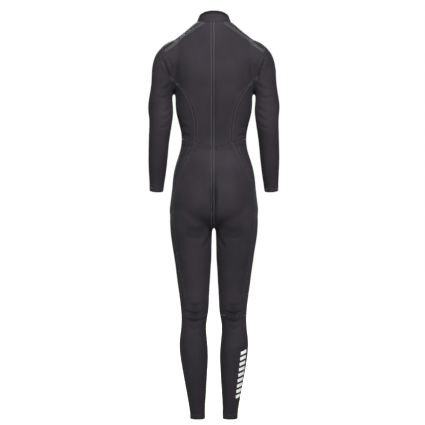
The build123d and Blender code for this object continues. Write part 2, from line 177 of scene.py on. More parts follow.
# ---- the middle lines of the limbs and trunk, from the frame ------------------------------
knee = {s: np.array(JOINTS[f"knee_{s}"]["pos_m"]) for s, _ in SIDES}
elbow = {s: np.array(JOINTS[f"elbow_{s}"]["pos_m"]) for s, _ in SIDES}
ankle = {s: np.array(MOUNTS[f"ankle_opening_{s}"]["pos_m"]) for s, _ in SIDES}
wrist = {s: np.array(MOUNTS[f"wrist_opening_{s}"]["pos_m"]) for s, _ in SIDES}
CROTCH = -0.70
CROTCH_HALF, CROTCH_DROP = 0.03, 0.03     # the crotch's floor faces down, not away from a leg

# The narrow gaps under the arms and between the thighs are opened by this much on each side.
ROOM = 0.0036
ARMPIT, ARMPIT_EASE = -0.226, 0.012       # the sleeve hangs clear of the trunk below this
UNDERARM_LENGTH, UNDERARM_FADE = 0.095, 0.050
SLEEVE_SIDE, TRUNK_SIDE, SIDE_EASE = 0.186, 0.105, 0.030
SLEEVE_PART = 0.5                         # a sleeve gives way half as much as the trunk
THIGHS, THIGHS_EASE = -0.724, 0.006       # the thighs are clear of each other below this
THIGH_LENGTH, THIGH_FADE, THIGH_SIDE = 0.110, 0.070, 0.045
leg_line, arm_line = {}, {}
for side, sign in SIDES:
    calf = mirrored((0.0705, -0.020, -1.17), sign)
    leg_line[side] = [ankle[side], calf, knee[side], mirrored((0.079, -0.014, CROTCH), sign)]
    shoulder = mirrored((0.152, -0.008, -0.135), sign)
    arm_line[side] = [wrist[side], elbow[side], mirrored((0.182, -0.008, -0.22), sign), shoulder]
trunk_line = [np.array((0, 0, -0.62)), np.array((0, 0, -0.12))]


def outer_triangles(name):
    """The triangles of a CAD node that face away from the wearer."""
    points, tris = mesh_arrays(NODES[name].data)
    centre = points[tris].mean(1)
    normal = unit(face_cross(points, tris))
    side = name.rsplit("_", 1)[-1]
    if name.startswith(("upper_sleeve", "elbow_sleeve", "forearm_sleeve", "wrist_hem")):
        away, _ = axis_distance(centre, arm_line[side])
    else:
        away, _ = axis_distance(centre, trunk_line)
        if side in leg_line:
            from_leg, _ = axis_distance(centre, leg_line[side])
            on_floor = (np.abs(centre[:, 0]) < CROTCH_HALF) & (centre[:, 2] > CROTCH - CROTCH_DROP)
            on_leg = (centre[:, 2] < CROTCH - 0.01) & ~on_floor
            away[on_leg] = from_leg[on_leg]
    outwards = np.einsum("ij,ij->i", normal, unit(away)) > OUTWARD
    return points, tris[outwards]


# ---- closed skin over the panels -----------------------------------------------------------
group_of, group_names = {}, []
for group, members in GROUPS.items():
    for side, _ in SIDES:
        for member in members:
            group_of[f"{member}_{side}"] = f"{group}_{side}"
        group_names.append(f"{group}_{side}")
group_of["collar"] = "collar"
group_names.append("collar")
index_of = {name: i for i, name in enumerate(group_names)}

skin_points, skin_tris, skin_group, skin_flaps = [], [], [], []
offset = 0
for node, group in group_of.items():
    points, tris = outer_triangles(node)
    skin_points.append(points)
    skin_tris.append(tris + offset)
    skin_group.append(np.full(len(tris), index_of[group]))
    skin_flaps.append((offset, len(points), tris))
    offset += len(points)
skin_points = np.concatenate(skin_points)
skin_tris = np.concatenate(skin_tris)
skin_group = np.concatenate(skin_group)
point_group = np.zeros(len(skin_points), int)
point_group[skin_tris.ravel()] = np.repeat(skin_group, 3)
is_arm = np.isin(point_group, [index_of[f"{g}_{s}"] for g in ARM for s, _ in SIDES])
reach_x, height = np.abs(skin_points[:, 0]), skin_points[:, 2]
under_arm = (share(-height, -ARMPIT, ARMPIT_EASE)
             * share(height, ARMPIT - UNDERARM_LENGTH, UNDERARM_FADE))
from_trunk = share(-reach_x, -SLEEVE_SIDE, SIDE_EASE) * SLEEVE_PART
aside = np.where(is_arm, from_trunk, -share(reach_x, TRUNK_SIDE, SIDE_EASE)) * under_arm
between = (share(-height, -THIGHS, THIGHS_EASE) * share(height, THIGHS - THIGH_LENGTH, THIGH_FADE)
           * share(-reach_x, -THIGH_SIDE, SIDE_EASE))
skin_points[:, 0] += np.sign(skin_points[:, 0]) * (aside + between) * ROOM
skin_flaps = [(skin_points[first:first + count], tris) for first, count, tris in skin_flaps]
cad_tree = BVHTree.FromPolygons(skin_points.tolist(), skin_tris.tolist())

collar_points, _ = mesh_arrays(NODES["collar"].data)
nape = collar_points[np.argmax(collar_points[:, 2] - 1e3 * (collar_points[:, 1] > 0))]
throat_side = collar_points[(collar_points[:, 1] > FRONT_HALF) & (np.abs(collar_points[:, 0]) < 0.02)]
throat = throat_side[np.argmax(throat_side[:, 2])]
RIM = np.array((0, nape[2] - throat[2], throat[1] - nape[1]))
RIM = RIM / np.linalg.norm(RIM)
RIM_HEIGHT = (collar_points @ RIM).max()

panel_points, _ = mesh_arrays(NODES["front_panel_right"].data)
edge_points = np.concatenate([panel_points, collar_points])
SLOT = np.abs(collar_points[(collar_points[:, 1] > 0.05)][:, 0]).min()
on_edge = (np.abs(edge_points[:, 0] - SLOT) < 2e-5) & (edge_points[:, 1] > 0.04)
slot_edge = edge_points[on_edge]
SLOT_LOW = slot_edge[:, 2].min()


def flaps(points, tris, reach):
    """Strips that carry a panel's surface on past its own edge, to close the gap to the next panel."""
    _, same = np.unique(np.round(points, 6), axis=0, return_inverse=True)
    same = same.reshape(-1)
    ends = sides_of(tris)
    third = np.concatenate([tris[:, 2], tris[:, 0], tris[:, 1]])
    edge = lone(same[ends])
    a, b, c = points[ends[edge, 0]], points[ends[edge, 1]], points[third[edge]]
    along = unit(b - a)
    away = a - c - np.einsum("ij,ij->i", a - c, along)[:, None] * along
    away = unit(away) * reach
    return a, b, b + away, a + away


def closed_skin():
    """The outer faces of all panels joined to one closed mesh of even size, without the gaps."""
    bm = bmesh.new()
    verts = [bm.verts.new(p) for p in skin_points]
    for tri in skin_tris:
        try:
            bm.faces.new([verts[k] for k in tri])
        except ValueError:
            continue
    for points, tris in skin_flaps:
        for quad in zip(*flaps(points, tris, GAP_REACH)):
            bm.faces.new([bm.verts.new(p) for p in quad])
    # the zip's slot: bridged at the depth of its front edges
    heights = np.arange(SLOT_LOW - 0.004, slot_edge[:, 2].max() + 0.004, 0.003)
    order = np.argsort(slot_edge[:, 2])
    front = np.zeros(len(heights))
    for k, h in enumerate(heights):
        near = np.abs(slot_edge[:, 2] - h) < 0.006
        between_known = np.interp(h, slot_edge[order, 2], slot_edge[order, 1])
        front[k] = slot_edge[near, 1].max() if near.any() else between_known
    front = eased(front, 3)
    near_side, far_side = [
        [bm.verts.new((x, y, z)) for y, z in zip(front, heights)] for x in (-SLOT - 0.0005, SLOT + 0.0005)
    ]
    for k in range(len(heights) - 1):
        bm.faces.new((near_side[k], near_side[k + 1], far_side[k + 1], far_side[k]))
    for mount in HEMS:
        axis = Vector(mount["axis"])
        end = Vector(mount["pos_m"]) + axis * (mount["dims"]["length_mm"] / 2000 - 0.0005)
        place = Matrix.Translation(end) @ axis.to_track_quat("Z", "Y").to_matrix().to_4x4()
        radius = mount["dims"]["r_mm"] / 1000 + WALL
        bmesh.ops.create_circle(bm, cap_ends=True, segments=48, radius=radius, matrix=place)
    rim = collar_points[collar_points @ RIM > RIM_HEIGHT - 0.002]
    lid = bmesh.new()
    for p in rim:
        lid.verts.new(p)
    made = bmesh.ops.convex_hull(lid, input=lid.verts)
    inside = [g for g in made["geom_interior"] if isinstance(g, bmesh.types.BMVert)]
    bmesh.ops.delete(lid, geom=inside, context="VERTS")
    scratch = bpy.data.meshes.new("scratch")
    lid.to_mesh(scratch)
    bm.from_mesh(scratch)
    mesh = bpy.data.meshes.new("joined")
    bm.to_mesh(mesh)
    bm.free()
    lid.free()
    form = bpy.data.objects.new("joined", mesh)
    bpy.context.scene.collection.objects.link(form)
    remesh = form.modifiers.new("even", "REMESH")
    remesh.mode = "VOXEL"
    remesh.voxel_size = VOXEL
    remesh.adaptivity = 0
    even = bpy.data.meshes.new_from_object(form.evaluated_get(bpy.context.evaluated_depsgraph_get()))
    bpy.data.objects.remove(form)
    bpy.data.meshes.remove(mesh)
    bpy.data.meshes.remove(scratch)
    return even


skin = bmesh.new()
skin.from_mesh(closed_skin())
seen, islands = set(), []
for v in skin.verts:
    if v in seen:
        continue
    island, stack = [], [v]
    seen.add(v)
    while stack:
        u = stack.pop()
        island.append(u)
        for e in u.link_edges:
            w = e.other_vert(u)
            if w not in seen:
                seen.add(w)
                stack.append(w)
    islands.append(island)
islands.sort(key=len)
for island in islands[:-1]:
    bmesh.ops.delete(skin, geom=island, context="VERTS")


# ---- ends and the zip's slot cut clean ------------------------------------------------------
def cut(normal, distance, near, drop=True):
    """Cuts the skin by the plane normal . p = distance among the faces that near() picks."""
    faces = [f for f in skin.faces if near(f.calc_center_median())]
    geometry = list({v for f in faces for v in f.verts}) + list({e for f in faces for e in f.edges}) + faces
    bmesh.ops.bisect_plane(skin, geom=geometry, dist=1e-6, plane_co=Vector(normal) * distance,
                           plane_no=Vector(normal), clear_outer=drop)


ends = []
for mount in HEMS:
    axis, centre = Vector(mount["axis"]), Vector(mount["pos_m"])
    ends.append((axis, axis.dot(centre) + mount["dims"]["length_mm"] / 2000, centre, END_REACH))
ends.append((Vector(RIM), RIM_HEIGHT, Vector((0, 0.012, 0.02)), COLLAR_REACH))
bmesh.ops.triangulate(skin, faces=skin.faces[:])
for axis, distance, centre, reach in ends:
    cut(axis, distance - END_TRIM, lambda c: (c - centre).length < reach and axis.dot(c) > distance - 0.012)


def in_front(c):
    return c.y > FRONT_HALF and abs(c.x) < SLOT + 0.012


cut((0, 0, 1), SLOT_LOW, lambda c: in_front(c) and abs(c.z - SLOT_LOW) < 0.01, drop=False)
for sign in (1, -1):
    cut((sign, 0, 0), SLOT, lambda c: in_front(c) and c.z > SLOT_LOW - 1e-4, drop=False)
in_slot = []
for f in skin.faces:
    c = f.calc_center_median()
    if in_front(c) and abs(c.x) < SLOT and c.z > SLOT_LOW:
        in_slot.append(f)
bmesh.ops.delete(skin, geom=in_slot, context="FACES")
bmesh.ops.triangulate(skin, faces=skin.faces[:])
bmesh.ops.delete(skin, geom=[v for v in skin.verts if not v.link_faces], context="VERTS")
cleaned = bpy.data.meshes.new("skin")
skin.to_mesh(cleaned)
skin.free()
points, tris = mesh_arrays(cleaned)
bpy.data.meshes.remove(cleaned)


def edges_of(tris):
    """Each edge once, with the triangle on each side (-1 for none)."""
    ends = sides_of(tris)
    owner = np.tile(np.arange(len(tris)), 3)
    key = np.sort(ends, axis=1)
    order = np.lexsort((key[:, 1], key[:, 0]))
    key, owner = key[order], owner[order]
    new = np.ones(len(key), bool)
    new[1:] = (key[1:] != key[:-1]).any(1)
    first = np.flatnonzero(new)
    second = np.full(len(first), -1)
    follows = first + 1
    has = (follows < len(key)) & ~np.append(new, True)[np.minimum(follows, len(key))]
    second[has] = owner[follows[has]]
    return key[first], owner[first], second


def normals_of(points, tris):
    face = face_cross(points, tris)
    total = np.zeros_like(points)
    for k in range(3):
        for axis in range(3):
            total[:, axis] += np.bincount(tris[:, k], face[:, axis], len(points))
    return unit(total)


def smoothed(values, pairs, weight, rounds):
    """Each value eased towards the mean of its neighbours, by weight at each point."""
    a, b = pairs[:, 0], pairs[:, 1]
    count = np.bincount(a, minlength=len(values)) + np.bincount(b, minlength=len(values))
    count = np.maximum(count, 1)[:, None]
    for _ in range(rounds):
        total = np.zeros_like(values)
        for k in range(values.shape[1]):
            total[:, k] = np.bincount(a, values[b, k], len(values))
            total[:, k] += np.bincount(b, values[a, k], len(values))
        values = values + (total / count - values) * weight[:, None]
    return values


pairs, left, right = edges_of(tris)
on_rim = np.zeros(len(points), bool)
on_rim[pairs[right < 0].ravel()] = True

# onto the panels' own surface, then eased, more where the limbs join the trunk
for k, p in enumerate(points):
    if not on_rim[k]:
        place = cad_tree.find_nearest(p, 0.003)[0]
        if place is not None:
            points[k] = place
height = points[:, 2]
across = np.abs(points[:, 0])
hip_join = np.exp(-((height + 0.705) / 0.045) ** 2)
shoulder_join = np.exp(-((height + 0.165) / 0.07) ** 2) * (across > 0.12)
ease = 0.35 + 0.5 * np.maximum(hip_join, shoulder_join)
ease[on_rim] = 0
points = smoothed(points, pairs, ease, 3)
points = smoothed(points, pairs, np.where(on_rim, 0, 0.6 * np.maximum(hip_join, shoulder_join)), 14)

# ---- split along the seams ------------------------------------------------------------------
group_tree = [BVHTree.FromPolygons(skin_points.tolist(), skin_tris[skin_group == i].tolist())
              for i in range(len(group_names))]
label = np.array([skin_group[cad_tree.find_nearest(p)[2]] for p in points])
crossing = label[pairs[:, 0]] != label[pairs[:, 1]]
made, new_points = {}, []
for a, b in pairs[crossing]:
    la, lb = label[a], label[b]
    pa, pb = points[a], points[b]
    ga = group_tree[la].find_nearest(pa)[3] - group_tree[lb].find_nearest(pa)[3]
    gb = group_tree[la].find_nearest(pb)[3] - group_tree[lb].find_nearest(pb)[3]
    t = ga / (ga - gb) if gb - ga > 1e-9 else 0.5
    t = min(max(t, 0.04), 0.96)
    made[(a, b)] = len(points) + len(new_points)
    new_points.append(pa + (pb - pa) * t)


def middle(a, b):
    return made[(a, b) if a < b else (b, a)]


plain = (label[tris[:, 0]] == label[tris[:, 1]]) & (label[tris[:, 1]] == label[tris[:, 2]])
out_tris, out_label = [tris[plain]], [label[tris[plain][:, 0]]]
more, more_label = [], []
for tri in tris[~plain]:
    kinds = label[tri]
    if len(set(kinds)) == 3:
        centre = len(points) + len(new_points)
        corners = [middle(tri[k], tri[(k + 1) % 3]) for k in range(3)]
        new_points.append(sum(new_points[c - len(points)] for c in corners) / 3)
        for k in range(3):
            more += [(tri[k], corners[k], centre), (tri[k], centre, corners[k - 1])]
            more_label += [kinds[k]] * 2
    else:
        odd = next(k for k in range(3) if kinds[k] != kinds[(k + 1) % 3] and kinds[k] != kinds[k - 1])
        a, b, c = tri[odd], tri[(odd + 1) % 3], tri[odd - 1]
        ab, ac = middle(a, b), middle(a, c)
        more += [(a, ab, ac), (ab, b, c), (ab, c, ac)]
        more_label += [label[a], label[b], label[b]]
points = np.concatenate([points, np.array(new_points)])
tris = np.concatenate(out_tris + [np.array(more)])
tri_label = np.concatenate(out_label + [np.array(more_label)])
pairs, left, right = edges_of(tris)
inside_edge = right >= 0
seam_edge = inside_edge & (tri_label[left] != tri_label[np.maximum(right, 0)])
rim_edge = ~inside_edge

# ends drawn out square to their full length
at_end = np.zeros(len(points), bool)
at_end[pairs[rim_edge].ravel()] = True
for axis, distance, centre, reach in ends:
    axis = np.array(axis)
    along = points @ axis
    in_plane = np.abs(along - distance + END_TRIM) < 1e-4
    close = np.linalg.norm(points - np.array(centre), axis=1) < reach
    points[at_end & in_plane & close] += axis * END_TRIM


# ---- seam lines -----------------------------------------------------------------------------
def chains(edge_list):
    """Edges joined end to end into lines; a line stops where three meet."""
    links = {}
    for a, b in edge_list:
        links.setdefault(a, []).append(b)
        links.setdefault(b, []).append(a)
    unused = {(min(a, b), max(a, b)) for a, b in edge_list}
    lines = []
    starts = sorted(v for v in links if len(links[v]) != 2) + sorted(links)
    for start in starts:
        for step in links[start]:
            if (min(start, step), max(start, step)) not in unused:
                continue
            line = [start]
            here, ahead = start, step
            while True:
                unused.discard((min(here, ahead), max(here, ahead)))
                line.append(ahead)
                onward = [n for n in links[ahead] if (min(ahead, n), max(ahead, n)) in unused]
                if len(links[ahead]) != 2 or not onward:
                    break
                here, ahead = ahead, onward[0]
            lines.append(line)
    return lines


seams = {}
for (a, b), l, r in zip(pairs[seam_edge], left[seam_edge], right[seam_edge]):
    names = tuple(sorted((group_names[tri_label[l]], group_names[tri_label[r]])))
    seams.setdefault(names, []).append((int(a), int(b)))
seam_lines = {}
for names, edge_list in sorted(seams.items()):
    seam_lines[names] = [line for line in chains(edge_list) if len(line) > 3]
for lines in seam_lines.values():
    for line in lines:
        points[line] = eased(points[line], 4)
normals = normals_of(points, tris)


# ---- the body's relief and the creases ------------------------------------------------------
def side_mask(normal_y, sign):
    """1 where the surface faces backwards (sign -1) or forwards (sign 1), easing to 0 at the sides."""
    t = np.clip(normal_y * sign / 0.5, 0, 1)
    return t * t * (3 - 2 * t)


def hill(centre, radii, amount, facing):
    """Soft rise or hollow on both halves of the suit; centre and radii are x and z."""
    total = np.zeros(len(points))
    for sign in (1, -1) if centre[0] else (1,):
        u = (points[:, 0] - sign * centre[0]) / radii[0]
        v = (points[:, 2] - centre[1]) / radii[1]
        total += np.exp(-u * u - v * v)
    return total * amount * side_mask(normals[:, 1], facing)


def crease(line, depth, width, facing):
    """Furrow with soft shoulders along a line of x and z, fading at its ends."""
    total = np.zeros(len(points))
    for sign in (1, -1):
        course = [np.array((sign * x, 0.0, z)) for x, z in line]
        flat = points * np.array((1.0, 0.0, 1.0))
        _, gap = axis_distance(flat, course)
        middle_point = sum(course) / len(course)
        span = max(np.linalg.norm(course[0] - middle_point), np.linalg.norm(course[-1] - middle_point))
        fade = np.exp(-(np.linalg.norm(flat - middle_point, axis=1) / (span * 0.95)) ** 4)
        furrow = -np.exp(-(gap / width) ** 2) + 0.45 * np.exp(-((gap - 2.2 * width) / (1.3 * width)) ** 2)
        total += furrow * fade
    return total * depth * side_mask(normals[:, 1], facing)


BACK, FRONT = -1, 1
RELIEF = [
    ((0.0, -0.28), (0.012, 0.17), -0.0022, BACK),      # spine
    ((0.070, -0.165), (0.042, 0.050), 0.0040, BACK),   # shoulder blades
    ((0.100, -0.235), (0.030, 0.050), 0.0020, BACK),
    ((0.030, -0.395), (0.022, 0.075), 0.0020, BACK),   # muscles beside the spine
    ((0.0, -0.630), (0.011, 0.075), -0.0065, BACK),    # between the buttocks
    ((0.072, -0.660), (0.045, 0.055), 0.0048, BACK),
    ((0.070, -0.745), (0.050, 0.020), -0.0025, BACK),  # under them
    ((0.068, -1.030), (0.020, 0.040), -0.0035, BACK),  # hollow of the knee
    ((0.052, -1.150), (0.016, 0.060), 0.0022, BACK),   # two heads of the calf
    ((0.092, -1.140), (0.016, 0.060), 0.0020, BACK),
    ((0.072, -1.190), (0.006, 0.060), -0.0012, BACK),
    ((0.0, -0.420), (0.014, 0.200), -0.0010, FRONT),
]
CREASES = [
    ([(0.176, -0.135), (0.163, -0.170), (0.150, -0.200)], 0.0040, 0.0045, BACK),    # armpit
    ([(0.160, -0.130), (0.150, -0.160), (0.143, -0.190)], 0.0018, 0.0050, BACK),
    ([(0.135, -0.150), (0.128, -0.185), (0.132, -0.215)], 0.0012, 0.0060, BACK),
    ([(0.176, -0.135), (0.163, -0.170), (0.150, -0.200)], 0.0032, 0.0045, FRONT),
    ([(0.150, -0.215), (0.165, -0.232), (0.185, -0.240)], 0.0015, 0.0050, BACK),    # under the arm
    ([(0.080, -0.405), (0.100, -0.398), (0.122, -0.402)], 0.0014, 0.0050, BACK),    # waist
    ([(0.085, -0.375), (0.105, -0.368), (0.125, -0.372)], 0.0011, 0.0050, BACK),
    ([(0.078, -0.440), (0.098, -0.436), (0.118, -0.440)], 0.0012, 0.0050, BACK),
    ([(0.020, -0.455), (0.050, -0.448), (0.080, -0.452)], 0.0009, 0.0060, BACK),
    ([(0.012, -0.712), (0.050, -0.726), (0.090, -0.722), (0.122, -0.702)], 0.0020, 0.0170, BACK),
    ([(0.030, -0.752), (0.065, -0.760), (0.100, -0.752)], 0.0007, 0.0060, BACK),
    ([(0.006, -0.735), (0.022, -0.770), (0.040, -0.795)], 0.0016, 0.0060, BACK),
    ([(0.034, -1.018), (0.068, -1.026), (0.104, -1.014)], 0.0020, 0.0040, BACK),    # behind the knee
    ([(0.038, -1.046), (0.070, -1.052), (0.102, -1.044)], 0.0018, 0.0040, BACK),
    ([(0.046, -1.072), (0.070, -1.078), (0.094, -1.070)], 0.0011, 0.0045, BACK),
    ([(0.040, -0.990), (0.070, -0.996), (0.098, -0.988)], 0.0010, 0.0045, BACK),
    ([(0.160, -0.262), (0.180, -0.270), (0.205, -0.262)], 0.0012, 0.0045, BACK),    # sleeve
    ([(0.152, -0.300), (0.168, -0.312), (0.182, -0.318)], 0.0013, 0.0045, BACK),
    ([(0.155, -0.330), (0.170, -0.342), (0.186, -0.346)], 0.0014, 0.0045, BACK),
    ([(0.160, -0.362), (0.175, -0.372), (0.190, -0.374)], 0.0011, 0.0045, BACK),
    ([(0.160, -0.320), (0.186, -0.334), (0.212, -0.324)], 0.0016, 0.0045, FRONT),
    ([(0.162, -0.348), (0.188, -0.358), (0.212, -0.350)], 0.0013, 0.0045, FRONT),
    ([(0.040, -0.640), (0.090, -0.655), (0.130, -0.640)], 0.0012, 0.0070, FRONT),   # groin
    ([(0.010, -0.690), (0.050, -0.655), (0.100, -0.620)], 0.0026, 0.0060, FRONT),
    ([(0.040, -1.380), (0.058, -1.376), (0.076, -1.381)], 0.0006, 0.0030, BACK),    # above the hem
]

CUT_ONLY = {"upper_sleeve", "forearm_sleeve"}     # these two meet without a sewn seam
seam_points = np.unique(np.concatenate([
    np.array(line) for names, lines in seam_lines.items() for line in lines
    if {kind_of(n) for n in names} != CUT_ONLY]))
seam_tree = KDTree(len(seam_points))
for k, index in enumerate(seam_points):
    seam_tree.insert(points[index], k)
seam_tree.balance()
SEAM_REACH = 0.030
RIPPLE = 0.0009                                     # faint unevenness of the whole skin
GROOVE, GROOVE_WIDTH = 0.0007, 0.0022               # along each seam
LIP, LIP_PLACE, LIP_WIDTH = 0.0004, 0.0065, 0.0035  # and its raised edges
END_FLAT, SLOT_FLAT = 0.020, 0.015                  # the relief fades out this near to an edge
PRINT_EDGE, PRINT_CLEAR = 0.006, 0.0001             # the skin keeps just under the print
DEEP_FOLD = 0.004                                   # a fold this deep has its full shade
BINDING, BINDING_EASE = 0.012, 0.002                # the dark edge of the collar
seam_gap = np.array([min(seam_tree.find(p)[2], SEAM_REACH) for p in points])

rise = np.zeros(len(points))
for item in RELIEF:
    rise += hill(*item)
for item in CREASES:
    rise += crease(*item)
ripple = np.array([noise.noise(Vector(p) * 16) * 0.7 + noise.noise(Vector(p) * 45) * 0.3 for p in points])
rise += ripple * RIPPLE
rise -= GROOVE * np.exp(-(seam_gap / GROOVE_WIDTH) ** 2)
rise += LIP * np.exp(-((seam_gap - LIP_PLACE) / LIP_WIDTH) ** 2)
near_end = np.zeros(len(points))
for axis, distance, centre, reach in ends:
    close = np.linalg.norm(points - np.array(centre), axis=1) < reach * 1.5
    level_gap = share(distance - points @ np.array(axis), 0, END_FLAT)
    near_end = np.maximum(near_end, np.where(close, 1 - level_gap, 0))
by_slot = (points[:, 1] > FRONT_HALF) & (np.abs(points[:, 0]) < 0.03) & (points[:, 2] > SLOT_LOW - END_FLAT)
slot_gap = share(np.abs(points[by_slot, 0]), SLOT, SLOT_FLAT)
near_end[by_slot] = np.maximum(near_end[by_slot], 1 - slot_gap)
rise *= 1 - near_end
low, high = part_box("calf_print_right")
printed = ((points[:, 0] > low.x - PRINT_EDGE) & (points[:, 1] < high.y + PRINT_EDGE)
           & (points[:, 2] > low.z - PRINT_EDGE) & (points[:, 2] < high.z + PRINT_EDGE))
rise[printed] = np.minimum(rise[printed], -PRINT_CLEAR)
points = points + normals * rise[:, None]
normals = normals_of(points, tris)
skin_tree = BVHTree.FromPolygons(points.tolist(), tris.tolist())
# painted shade: how far the skin sinks in (creases, hollows, seam grooves) sets how much the cloth's colour is
# darkened; the collar's dark top edge is joined to it below
painted_fold_shade_and_collar_edge = share(-rise, 0, DEEP_FOLD)
painted_fold_shade_and_collar_edge = np.maximum(painted_fold_shade_and_collar_edge, share(points @ RIM, RIM_HEIGHT - BINDING, BINDING_EASE))


# ---- materials -------------------------------------------------------------------------------
def srgb(*values):
    """A colour given as 0 to 255, in linear light."""
    shares = [v / 255 for v in values]
    return tuple(v / 12.92 if v <= 0.04045 else ((v + 0.055) / 1.055) ** 2.4 for v in shares) + (1,)


def grey(value):
    return (value, value, value, 1)


class Nodes:
    """Short helper for a material's node tree."""

    def __init__(self, name, **sockets):
        self.material = bpy.data.materials.new(name)
        self.material.use_nodes = True
        self.tree = self.material.node_tree
        self.shader = self.tree.nodes["Principled BSDF"]
        for socket, value in sockets.items():
            self.shader.inputs[socket.replace("_", " ")].default_value = value
        self.place = self.tree.nodes.new("ShaderNodeTexCoord").outputs["Object"]

    def add(self, kind, links=(), **settings):
        node = self.tree.nodes.new(kind)
        for key, value in settings.items():
            if hasattr(node, key):
                setattr(node, key, value)
            else:
                node.inputs[key.replace("_", " ")].default_value = value
        for socket, source in dict(links).items():
            self.tree.links.new(source, node.inputs[socket])
        return node

    def noise(self, scale, detail=2.0):
        return self.add("ShaderNodeTexNoise", {"Vector": self.place}, Scale=scale, Detail=detail).outputs[0]

    def waves(self, scale, direction):
        return self.add("ShaderNodeTexWave", {"Vector": self.place}, Scale=scale, bands_direction=direction,
                        wave_profile="SIN", Distortion=0.0).outputs["Fac"]

    def maths(self, operation, a, b):
        node = self.add("ShaderNodeMath", operation=operation)
        for socket, value in zip(node.inputs, (a, b)):
            if isinstance(value, (int, float)):
                socket.default_value = value
            else:
                self.tree.links.new(value, socket)
        return node.outputs[0]

    def ramp(self, source, stops):
        node = self.add("ShaderNodeValToRGB", {"Fac": source})
        while len(node.color_ramp.elements) < len(stops):
            node.color_ramp.elements.new(0.5)
        for element, (position, colour) in zip(node.color_ramp.elements, stops):
            element.position = position
            element.color = colour
        return node.outputs[0]

    def mix(self, factor, a, b, blend="MIX"):
        node = self.add("ShaderNodeMix", data_type="RGBA", blend_type=blend)
        for socket, value in zip((node.inputs[0], node.inputs[6], node.inputs[7]), (factor, a, b)):
            if hasattr(value, "is_linked"):
                self.tree.links.new(value, socket)
            else:
                socket.default_value = value
        return node.outputs[2]

    def bump(self, height, distance, strength=1.0, under=None):
        links = {"Height": height}
        if under is not None:
            links["Normal"] = under
        node = self.add("ShaderNodeBump", links, Distance=distance, Strength=strength)
        return node.outputs[0]

    def finish(self, colour, roughness=None, normal=None):
        for socket, source in (("Base Color", colour), ("Roughness", roughness), ("Normal", normal)):
            if source is not None:
                self.tree.links.new(source, self.shader.inputs[socket])
        return self.material


def jersey(name, dark, light):
    """Nylon-faced neoprene: fine knit over foam, with painted shade making it darker in folds and along seams."""
    m = Nodes(name, Sheen_Weight=0.03, Sheen_Roughness=0.45, Specular_IOR_Level=0.13)
    m.shader.inputs["Sheen Tint"].default_value = (0.9, 0.86, 0.95, 1)
    cloud = m.noise(9.0, 3.0)
    grain = m.noise(420.0, 2.0)
    colour = m.ramp(cloud, [(0.32, dark), (0.68, light)])
    colour = m.mix(0.35, colour, m.ramp(grain, [(0.35, dark), (0.65, light)]))
    # painted shade along the seams: the colour darkens to 0.62 at a seam line and fades out within about 3 mm
    gap = m.add("ShaderNodeAttribute", attribute_name="seam").outputs["Fac"]
    seam_shade = m.ramp(m.maths("MULTIPLY", gap, 100.0), [(0.0, grey(0.62)), (0.3, grey(1))])
    colour = m.mix(0.8, colour, seam_shade, "MULTIPLY")
    # painted shade in folds, hollows and seam grooves: the colour darkens towards 0.16 where the skin sinks in
    depth = m.add("ShaderNodeAttribute", attribute_name="painted_fold_shade_and_collar_edge").outputs["Fac"]
    fold_shade = m.ramp(depth, [(0.0, grey(1)), (1.0, (0.16, 0.15, 0.17, 1))])
    colour = m.mix(0.75, colour, fold_shade, "MULTIPLY")
    warp = m.waves(330.0, "X")
    weft = m.waves(250.0, "Z")
    weave = m.maths("MULTIPLY", warp, weft)
    normal = m.bump(weave, 0.00012, 0.5)
    normal = m.bump(m.noise(70.0, 3.0), 0.0006, 0.25, normal)
    roughness = m.ramp(grain, [(0.3, grey(0.74)), (0.7, grey(0.9))])
    return m.finish(colour, roughness, normal)


JERSEY = jersey("neoprene_jersey", srgb(36, 33, 38), srgb(49, 45, 51))
HEM_JERSEY = jersey("hem_jersey", srgb(31, 28, 33), srgb(41, 38, 43))


def smooth_skin():
    m = Nodes("smooth_skin", Specular_IOR_Level=0.5, Coat_Weight=0.15, Coat_Roughness=0.3)
    fine = m.noise(260.0, 3.0)
    colour = m.ramp(m.noise(14.0), [(0.3, srgb(24, 22, 25)), (0.7, srgb(33, 30, 34))])
    roughness = m.ramp(fine, [(0.3, grey(0.38)), (0.7, grey(0.52))])
    return m.finish(colour, roughness, m.bump(fine, 0.0003, 0.3))


def thread(name, dark, light):
    m = Nodes(name, Sheen_Weight=0.2, Specular_IOR_Level=0.35)
    colour = m.ramp(m.noise(800.0), [(0.35, dark), (0.65, light)])
    roughness = m.ramp(m.noise(500.0), [(0.3, grey(0.5)), (0.7, grey(0.7))])
    return m.finish(colour, roughness, m.bump(m.waves(1100.0, "DIAGONAL"), 0.0001, 0.5))


def moulded(name, dark, light, rough, metal=0.0, scale=300.0):
    m = Nodes(name, Metallic=metal, Specular_IOR_Level=0.45)
    grain = m.noise(scale, 3.0)
    colour = m.ramp(m.noise(60.0), [(0.35, dark), (0.65, light)])
    roughness = m.ramp(grain, [(0.3, grey(rough - 0.08)), (0.7, grey(rough + 0.1))])
    return m.finish(colour, roughness, m.bump(grain, 0.0002, 0.3))


SKIN = smooth_skin()
THREAD = thread("seam_thread", srgb(58, 54, 60), srgb(75, 70, 77))
TAPE = thread("seam_tape", srgb(36, 35, 38), srgb(60, 58, 62))
FLAP_CLOTH = thread("flap_cloth", srgb(38, 35, 39), srgb(52, 48, 54))
RUBBER = moulded("knee_rubber", srgb(34, 32, 35), srgb(44, 41, 45), 0.55)
PRINT = moulded("white_print", srgb(232, 231, 234), srgb(246, 246, 247), 0.6, scale=500.0)
ZIP_TAPE = thread("zip_tape", srgb(26, 25, 28), srgb(40, 38, 42))
PLASTIC = moulded("zip_plastic", srgb(20, 20, 22), srgb(32, 31, 34), 0.35)
METAL = moulded("zip_metal", srgb(52, 52, 56), srgb(80, 80, 84), 0.35, metal=1.0)
PULL = moulded("pull_rubber", srgb(28, 27, 30), srgb(38, 36, 40), 0.6)


